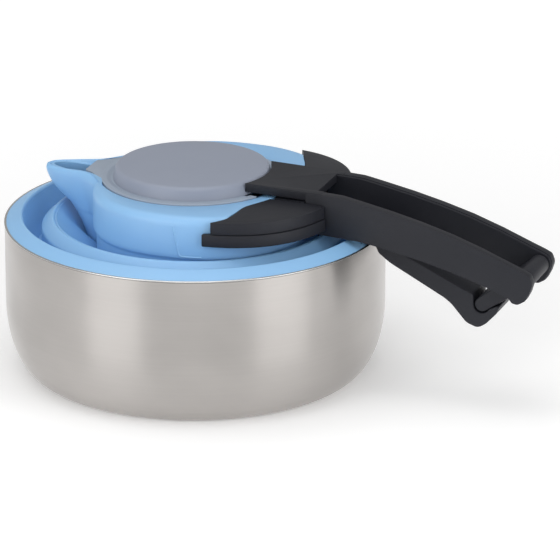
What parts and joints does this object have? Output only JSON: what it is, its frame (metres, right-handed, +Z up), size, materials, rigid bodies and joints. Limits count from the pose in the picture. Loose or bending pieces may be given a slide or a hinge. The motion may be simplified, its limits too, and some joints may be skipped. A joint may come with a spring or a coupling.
{
  "type": "collapsible kettle",
  "caption": "Camp kettle with a steel pan, silicone bands folded into its mouth, a beaked soft top with a lift-off lid, and a drop handle of two plates with a hooked lower arm.",
  "frame": {"origin": "centre of the pan's flat underside", "axes": "+Z up, the beak points to -X and the handle to +X; the object is symmetric about the plane y = 0"},
  "size_m": [0.2655, 0.1826, 0.1021],
  "materials": {
    "pan_steel": "satin polished",
    "trim_steel": "polished",
    "blue_silicone": "satin",
    "light_grey_plastic": "satin",
    "grey_plastic": "satin",
    "seal_silicone": "matte",
    "black_plastic": "satin",
    "pad_rubber": "matte"
  },
  "bodies": {
    "pan": {"pan_body": "pan_steel", "rim_trim": "trim_steel", "clamp_band": "trim_steel", "flange_ring": "blue_silicone"},
    "ring": {"middle_ring": "blue_silicone", "fold_outer": "blue_silicone"},
    "neck": {"neck_shell": "blue_silicone", "fold_inner": "blue_silicone", "seat_plate": "black_plastic", "collar_lower": "black_plastic", "collar_upper": "black_plastic", "collar_screw_1": "trim_steel", "collar_screw_2": "trim_steel", "collar_screw_3": "trim_steel", "collar_screw_4": "trim_steel", "hinge_pin": "trim_steel"},
    "lid": {"lid_base": "light_grey_plastic", "lid_cap": "grey_plastic", "lid_skirt": "light_grey_plastic", "lid_seal": "seal_silicone"},
    "handle": {"handle_frame": "black_plastic", "stop_pad": "pad_rubber", "arm_pin": "trim_steel", "arm_washer_1": "trim_steel", "arm_washer_2": "trim_steel", "end_pin": "trim_steel"},
    "arm": {"lower_arm": "black_plastic"},
    "link": {"latch_link": "black_plastic"}
  },
  "joints": [
    {"name": "ring_lift", "type": "slide", "parent": "pan", "child": "ring", "axis": [0, 0, 1], "range_m": [0, 0.032], "deforming": ["fold_outer"]},
    {"name": "neck_lift", "type": "slide", "parent": "ring", "child": "neck", "axis": [0, 0, 1], "range_m": [0, 0.032], "deforming": ["fold_inner"]},
    {"name": "handle_drop", "type": "hinge", "parent": "neck", "child": "handle", "pos_m": [0.068, 0, 0.0853], "axis": [0, 1, 0], "range_deg": [0, 32]},
    {"name": "arm_release", "type": "hinge", "parent": "handle", "child": "arm", "pos_m": [0.0765, 0, 0.0836], "axis": [0, 1, 0], "range_deg": [0, 4]},
    {"name": "link_swing", "type": "hinge", "parent": "handle", "child": "link", "pos_m": [0.1685, 0, 0.0673], "axis": [0, 1, 0], "range_deg": [0, 10]},
    {"name": "lid_lift", "type": "slide", "parent": "neck", "child": "lid", "axis": [0, 0, 1], "range_m": [0, 0.04]}
  ],
  "couplings": [
    {"joint": "neck_lift", "follows": "ring_lift", "ratio": 1},
    {"joint": "handle_drop", "follows": "ring_lift", "rad_per_m": 17.4},
    {"joint": "link_swing", "follows": "arm_release", "ratio": 2.4}
  ]
}
